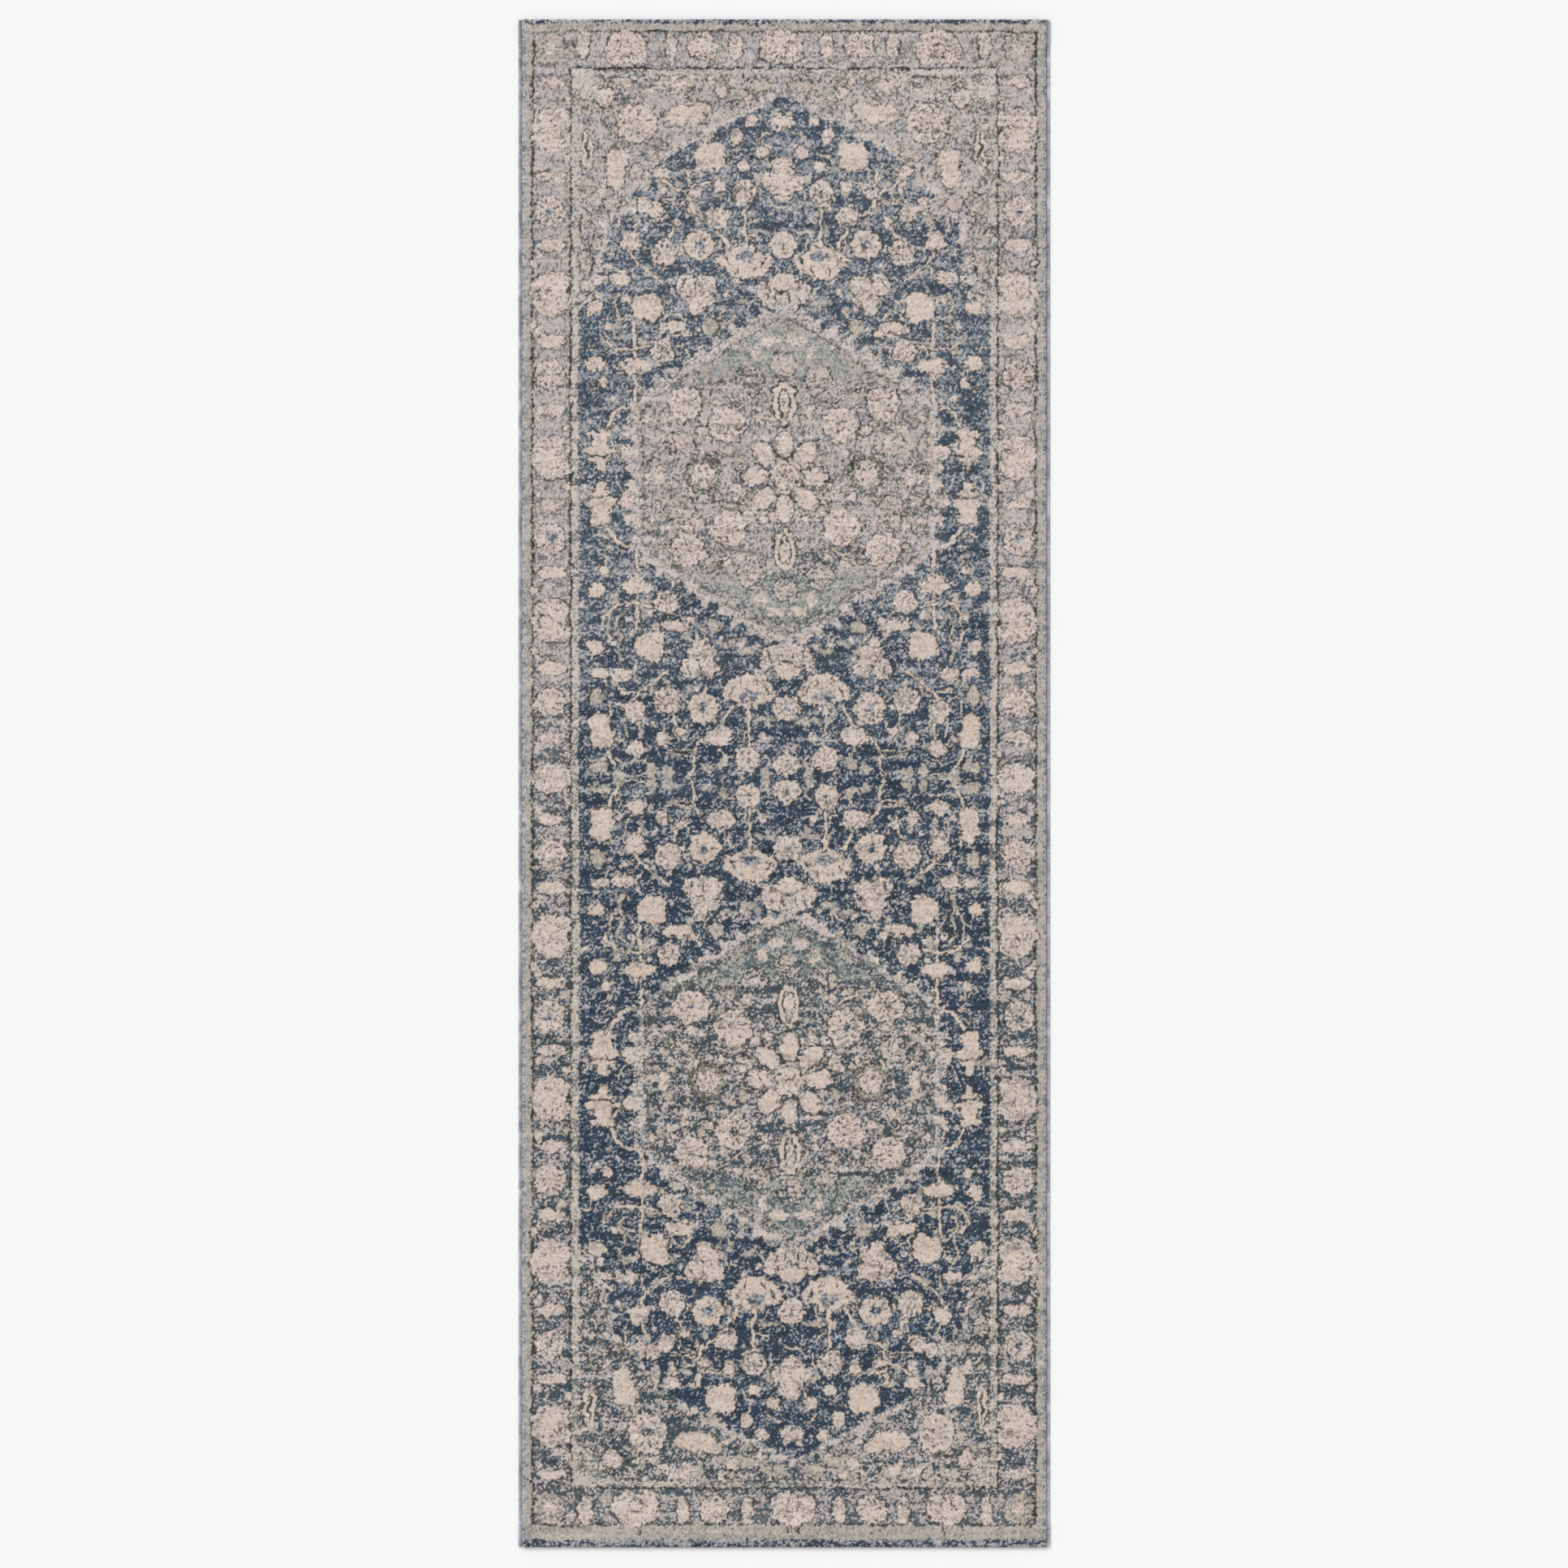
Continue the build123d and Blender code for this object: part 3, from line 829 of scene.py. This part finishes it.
def tape_material():
    """Herringbone twill: fine ribs that lean one way, then the other, across the tape."""
    material, tree, shader = new_material("hem_tape")
    wave = add_node(tree, "TexWave", Scale=1.0)
    place = add_node(tree, "TexCoord")
    split = add_node(tree, "SeparateXYZ")
    feed(split.inputs[0], place.outputs["Object"])
    zigzag = maths(tree, "PINGPONG", split.outputs["Y"], 0.006)  # metres between the herringbone's turns
    lean = maths(tree, "ADD", split.outputs["X"], zigzag)
    join = add_node(tree, "CombineXYZ")
    feed(join.inputs["X"], maths(tree, "MULTIPLY", lean, 260))
    feed(wave.inputs["Vector"], join.outputs[0])
    fibre = grain_noise(tree, (2500, 1200, 1200))
    # Painted highlight and shade: the colour follows the ribs' height, lighter on their crests and darker in
    # their grooves.
    colour = mix_colour(tree, wave.outputs["Fac"], rgb(150, 142, 126), rgb(188, 180, 162))
    colour = mix_colour(tree, span(tree, fibre, 0, 0.35), colour, rgb(120, 112, 98))
    surface(shader, colour, fibre, 0.75, 0.95)
    soft_yarn(shader, 0.1)
    under = add_bump(shader, wave.outputs["Fac"], 0.0004)
    add_bump(shader, fibre, 0.0002, 0.7, under)
    return material


def film_material():
    """Hot-melt film: slightly cloudy, with small pits."""
    material, tree, shader = new_material("hot_melt_film")
    cloud = grain_noise(tree, (60, 60, 60), 3.0, 0.6)
    colour = mix_colour(tree, cloud, rgb(196, 190, 172), rgb(216, 211, 196))
    surface(shader, colour, cloud, 0.35, 0.55)
    add_bump(shader, grain_noise(tree, (700, 700, 700)), 0.0002)
    return material


def floor_material():
    material, tree, shader = new_material("pale_floor")
    cloud = grain_noise(tree, (1.5, 1.5, 1.5), 2.0, 0.5)
    colour = mix_colour(tree, cloud, (0.945, 0.945, 0.95), (0.955, 0.955, 0.96))
    feed(shader.inputs["Base Color"], colour)
    shader.inputs["Roughness"].default_value = 1.0
    shader.inputs["Specular IOR Level"].default_value = 0.0
    return material


# ---- the cut pile
SAME = 1e-6


def pile_piece():
    """The tufts as one closed skin: a top with one point for each knot, rounded rims, and a flat foot."""
    x, y, dye, relief = knots()
    rows, columns = len(y), len(x)
    edge = np.minimum(HALF_WIDTH - np.abs(x), HALF_LENGTH - np.abs(y)[:, None])
    rounding = 1.6 * np.exp(-edge / 1.8)
    z = PILE_BASE + PILE_DEPTH + climb(y)[:, None] + relief - rounding - 0.3
    points = [points_of(x, y[:, None], z)]
    colours = [dye.reshape(-1, 3)]
    quads = [grid_quads(rows, columns)]

    # The rim, copied down to the foot: the outermost tufts lean out, the lower ones less
    rim = rim_of(rows, columns)
    top = points[0][rim]
    foot_level = PILE_BASE + climb(top[:, 1])
    border = np.array([HALF_WIDTH, HALF_LENGTH])
    out = np.where(np.abs(np.abs(top[:, :2]) - border) < SAME, np.sign(top[:, :2]), 0)
    wander = np.random.default_rng(31)
    previous = rim
    count = rows * columns
    for height, bulge in ((0.82, 0.55), (0.6, 0.75), (0.35, 0.5), (0.12, 0.1), (0.0, -0.05)):
        push = bulge + 0.3 * np.clip(wander.standard_normal(len(rim)), -1.5, 1.5) * (height > 0.05)
        ring = top.copy()
        ring[:, :2] += out * push[:, None]
        ring[:, 2] = foot_level + height * (top[:, 2] - foot_level)
        points.append(ring)
        # Painted shade: each ring down the sides takes the top's colour darkened towards the foot, to three
        # quarters of it at the floor.
        colours.append(colours[0][rim] * (0.75 + 0.25 * height))
        lower = count + np.arange(len(rim))
        quads.append(band(previous, lower))
        previous = lower
        count += len(rim)

    strips, ends = lid(previous, rows, columns)
    return add_mesh("pile", np.concatenate(points), np.concatenate([*quads, strips[:, ::-1]]),
                    [end[::-1] for end in ends], np.concatenate(colours), pile_material())


# ---- the serged edges
SERGING_PITCH = 2.4
SERGING_STEPS = 4  # points along each wrap
SERGING_ROUND = 26  # points round it


def serging_outline():
    """The wrap's outline, a round over the cord and a nose on the web, and its outward directions."""
    cord_x = (CORD_LOW[0] + CORD_HIGH[0]) / 2
    big_radius = SERGING_HIGH[0] - cord_x
    big = np.array([cord_x, big_radius])
    small_radius = (WEB + COAT_HIGH[2]) / 2 + 0.3
    small = np.array([SERGING_LOW[0] + small_radius, small_radius])
    angle = np.linspace(0, 2 * np.pi, 721)
    normal = np.stack([np.cos(angle), np.sin(angle)], axis=-1)
    use_big = normal @ big + big_radius > normal @ small + small_radius
    dense = np.where(use_big[:, None], big + big_radius * normal, small + small_radius * normal)
    step = np.concatenate([[0], np.cumsum(np.hypot(*np.diff(dense, axis=0).T))])
    at = np.linspace(0, step[-1], SERGING_ROUND + 1)[:-1]
    outline = np.stack([np.interp(at, step, dense[:, k]) for k in (0, 1)], axis=-1)
    along = np.roll(outline, -1, axis=0) - np.roll(outline, 1, axis=0)
    out = np.stack([along[:, 1], -along[:, 0]], axis=-1)
    return outline, out / np.hypot(*out.T)[:, None]


def serging_piece(side, name, material):
    """Yarn wound round the edge like a screw thread, one wrap every SERGING_PITCH."""
    outline, out = serging_outline()
    rows = int(2 * HALF_LENGTH / SERGING_PITCH) * SERGING_STEPS + 1
    y = np.linspace(-HALF_LENGTH, HALF_LENGTH, rows)
    turn = y[:, None] / SERGING_PITCH + np.arange(SERGING_ROUND) / SERGING_ROUND
    wrap = np.floor(turn).astype(int)
    wrap -= wrap.min()
    wraps = wrap.max() + 1
    draw = np.random.default_rng(41 + side)
    plump = draw.uniform(-0.08, 0.12, wraps)[wrap]
    rib = 0.34 * np.abs(np.sin(np.pi * (turn % 1))) - 0.16 + plump
    flat = outline + out * rib[..., None]
    x = side * flat[..., 0]
    z = np.maximum(flat[..., 1], CLEARANCE) + climb(y)[:, None]
    points = points_of(x, y[:, None], z)
    quads = grid_quads(rows, SERGING_ROUND, close_columns=True)
    first = list(range(SERGING_ROUND))
    last = list(range((rows - 1) * SERGING_ROUND, rows * SERGING_ROUND))
    if side > 0:
        quads, caps = quads[:, ::-1], [first, last[::-1]]
    else:
        caps = [first[::-1], last]
    drift = noise((wraps, 2), 0.3, 2.2, 43 + side)[:, 0]
    tone = drift * 13 + draw.standard_normal(wraps) * 9
    dye = np.array(SERGING_YARN) + tone[wrap][..., None]
    return add_mesh(name, points, quads, caps, dye.reshape(-1, 3), material)


# ---- the web's fold, the back and the hems
def weft_line(inset, swell):
    """One face of the outermost weft, in y and z, from mid-length over the fold to the raw edge."""
    half_turn = WEB + HEM_ADHESIVE / 2
    fold_y = HALF_LENGTH - half_turn
    middle_z = mm_box("upper_weft")[1][2] - half_turn
    radius = half_turn - inset
    y = [0.0, CLIMB_START * 0.5, CLIMB_START]
    y += list(np.linspace(CLIMB_START, CLIMB_END, 12)[1:])
    y += list(np.linspace(CLIMB_END, fold_y, 40)[1:])
    points = [(v, PILE_BASE + float(climb(v)) - inset) for v in y]
    for degrees in np.linspace(90, -90, 33)[1:]:
        angle = math.radians(degrees)
        reach = radius + swell * abs(math.sin((angle - math.pi / 2) * radius / 2.4 * 1.3))
        points.append((fold_y + reach * math.cos(angle), middle_z + reach * math.sin(angle)))
    raw_y = mm_box("head_hem_adhesive")[0][1]
    return points + [(v, middle_z - radius) for v in np.linspace(fold_y, raw_y, 14)[1:]]


def upper_weft_piece():
    """The outermost weft layer, in two halves, each from mid-length over the hem and round the fold."""
    profile = np.array(weft_line(0.0, 0.16) + weft_line(WEFT, 0)[::-1])
    xs = np.linspace(-HALF_WIDTH, HALF_WIDTH, 309)
    points, quads, caps = [], [], []
    n, start = len(profile), 0
    for end in (1, -1):
        points.append(points_of(xs[:, None], profile[:, 0] * end, profile[:, 1]))
        first = list(range(start, start + n))
        last = list(range(start + (len(xs) - 1) * n, start + len(xs) * n))
        these = grid_quads(len(xs), n, start, close_columns=True)
        quads.append(these[:, ::-end])
        caps += [first[::end], last[::-end]]
        start += len(xs) * n
    yarn = yarn_material("weft_yarn", (168, 146, 112), (500, 2600, 2600), 0.2, ribs=("X", 380))
    return add_mesh("folded_upper_weft", np.concatenate(points), np.concatenate(quads), caps, material=yarn)


def coating_piece():
    """The latex coat, ribbed by the wefts under it, with flat seats for the tapes and the label."""
    pitch, steps, depth = 3.0, 4, 0.14
    step = 0.05  # how soon a seat's wall drops
    (left, near, _), (right, far, label_top) = mm_box("care_label")
    tape_low = mm_box("head_hem_tape")[0][1]
    y = np.arange(-CLIMB_START, CLIMB_START + SAME, pitch / steps)
    y = np.unique([*y, CLIMB_START, near, near + step, far - step, far,
                   tape_low - step, tape_low, step - tape_low, -tape_low])
    x = np.linspace(COAT_LOW[0], COAT_HIGH[0], 25)
    x = np.unique([*x, left, left + step, right - step, right])
    gx, gy = np.meshgrid(x, y)
    in_label = (gx > left + 0.01) & (gx < right - 0.01) & (gy > near + 0.01) & (gy < far - 0.01)
    in_tape = np.abs(gy) >= tape_low - SAME
    ribs = CLEARANCE + depth * (0.5 + 0.5 * np.cos(2 * np.pi * gy / pitch))
    under = np.where(in_label | in_tape, label_top + 0.01, ribs)
    lower = points_of(gx, gy, under)
    rows, columns = gx.shape
    rim = rim_of(rows, columns)
    rim_top = lower[rim]
    rim_top[:, 2] = COAT_HIGH[2]
    above = len(lower) + np.arange(len(rim))
    strips, ends = lid(above, rows, columns)
    quads = [grid_quads(rows, columns)[:, ::-1], band(above, rim), strips]
    return add_mesh("back_coat", np.concatenate([lower, rim_top]), np.concatenate(quads), ends,
                    material=latex_material())


def slab_piece(name, node, material, columns, rows, soften):
    """A thin cloth strip: a grid above and below, with edges that soften as cloth does."""
    low, high = mm_box(node)
    gu, gv = np.meshgrid(np.linspace(-1, 1, columns), np.linspace(-1, 1, rows))
    size, middle = (high - low) / 2, (high + low) / 2
    edge = np.minimum((1 - np.abs(gu)) * size[0], (1 - np.abs(gv)) * size[1])
    thin = size[2] * np.clip(edge / soften, 0.35, 1)
    faces = [points_of(middle[0] + gu * size[0], middle[1] + gv * size[1], z)
             for z in (low[2] + 0.01 + (size[2] - thin) * 0.4, middle[2] + thin)]
    count = rows * columns
    rim = rim_of(rows, columns)
    quads = grid_quads(rows, columns)
    quads = np.concatenate([quads[:, ::-1], quads + count, band(rim + count, rim)])
    return add_mesh(name, np.concatenate(faces), quads, material=material)


def stitches_piece(end, material):
    """Two rows of lockstitch: each stitch a short thread that dives into the tape at both ends."""
    low, high = mm_box(end + "_hem_stitches")
    length, pitch, width = 5.0, 7.0, 0.6
    count = int(round((high[0] - low[0] - length) / pitch)) + 1
    xs = low[0] + length / 2 + pitch * np.arange(count)
    along = np.linspace(-1, 1, 9)[:, None]
    around = np.linspace(0, 2 * np.pi, 9)[:-1]
    twist = 0.9 + 0.1 * np.cos(around * 2 + along * 9)
    one = points_of(along * length / 2 * 1.04, np.cos(around) * width / 2 * twist,
                    0.17 + 0.22 * np.abs(along) ** 5 + np.sin(around) * 0.15 * twist)
    rings, n = twist.shape
    one_quads = grid_quads(rings, n, close_columns=True)
    one_caps = np.array([range(n)[::-1], range((rings - 1) * n, rings * n)])
    places = [(x, y, 0) for y in (low[1] + width / 2, high[1] - width / 2) for x in xs]
    starts = len(one) * np.arange(len(places))
    return add_mesh(end + "_stitch_threads", np.concatenate([one + place for place in places]),
                    np.concatenate([one_quads + start for start in starts]),
                    [cap for start in starts for cap in one_caps + start], material=material)


# ---- put together
def declare(piece, node):
    """Attach a piece to the root body and hide the CAD node it stands for."""
    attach(piece, "root")
    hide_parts(node)


def declare_sheet(piece, node):
    """The same as declare, used for the sheets that lie on something."""
    declare(piece, node)


def build():
    pile = pile_piece()
    declare_sheet(pile, "cut_pile")
    serging_yarn = yarn_material("serging_yarn", SERGING_YARN, (2600, 900, 2600), 0.16, use_dye=True)
    for side, word in ((-1, "left"), (1, "right")):
        wrap = serging_piece(side, word + "_serging_yarn", serging_yarn)
        declare(wrap, word + "_serging")
    declare(upper_weft_piece(), "upper_weft")
    declare_sheet(coating_piece(), "back_coating")

    tape_cloth = tape_material()
    thread = yarn_material("stitch_thread", (184, 178, 162), (900, 4000, 4000), 0.15)
    for word in ("head", "foot"):
        node = word + "_hem_tape"
        tape = slab_piece(word + "_tape", node, tape_cloth, 199, 27, 1.2)
        declare_sheet(tape, node)
        declare(stitches_piece(word, thread), word + "_hem_stitches")

    satin = yarn_material("label_satin", (232, 230, 224), (700, 6000, 3000), 0.04, False, 0.0001, ("Y", 900))
    label = slab_piece("blank_label", "care_label", satin, 31, 19, 0.8)
    declare_sheet(label, "care_label")


def dress_hidden_nodes():
    """Materials for the CAD nodes that stay: all of them lie inside the rug."""
    across, lengthways = (500, 2600, 2600), (2600, 500, 2600)
    cord = yarn_material("edge_cord_twist", (206, 198, 182), (2000, 600, 2000), 0.12, ribs=("DIAGONAL", 500))
    film = film_material()
    hidden = {
        "lower_weft": yarn_material("lower_weft_yarn", (160, 138, 104), across, 0.2, ribs=("Y", 380)),
        "stuffer_warp": yarn_material("stuffer_yarn", (200, 192, 174), lengthways, 0.12, ribs=("X", 300)),
        "buried_pile_yarn": yarn_material("buried_yarn", (132, 136, 144), lengthways, 0.3, ribs=("X", 400)),
        "left_edge_cord": cord,
        "right_edge_cord": cord,
        "head_hem_adhesive": film,
        "foot_hem_adhesive": film,
    }
    for node, made in hidden.items():
        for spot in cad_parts[node].material_slots:
            spot.material = made


# ---- the picture
FLOOR_HALF = 30000
VIEW_WIDTH = 2397.3  # what the picture spans, on the pile's level
VIEW_LEVEL = 8.5
VIEW_MIDDLE = (-0.4, -1.0)


def stage_floor():
    """A plain pale floor, far larger than the view."""
    corners = [(x * FLOOR_HALF, y * FLOOR_HALF, 0) for x, y in ((-1, -1), (1, -1), (1, 1), (-1, 1))]
    add_mesh("studio_floor", corners, [(0, 1, 2, 3)], material=floor_material())


def light():
    """An even white sky and a broad, soft sun from the upper left."""
    world = bpy.data.worlds.new("studio")
    world.use_nodes = True
    scene.world = world
    sky = world.node_tree.nodes["Background"]
    sky.inputs["Color"].default_value = (1, 1, 1, 1)
    sky.inputs["Strength"].default_value = 0.64
    lamp = bpy.data.lights.new("soft_key", "SUN")
    lamp.energy = 1.45
    lamp.angle = math.radians(30)
    key = bpy.data.objects.new("soft_key", lamp)
    key.rotation_euler = (math.radians(-32), math.radians(-24), 0)
    scene.collection.objects.link(key)


def camera():
    """A long lens straight above the rug's middle."""
    lens = bpy.data.cameras.new("overhead")
    lens.lens = 85
    lens.clip_end = 100
    eye = bpy.data.objects.new("overhead", lens)
    height = VIEW_WIDTH * lens.lens / lens.sensor_width + VIEW_LEVEL
    eye.location = (VIEW_MIDDLE[0] * MM, VIEW_MIDDLE[1] * MM, height * MM)
    scene.collection.objects.link(eye)
    bpy.context.scene.camera = eye


paint_design()
build()
dress_hidden_nodes()
stage_floor()
light()
camera()
scene.view_settings.view_transform = "Standard"
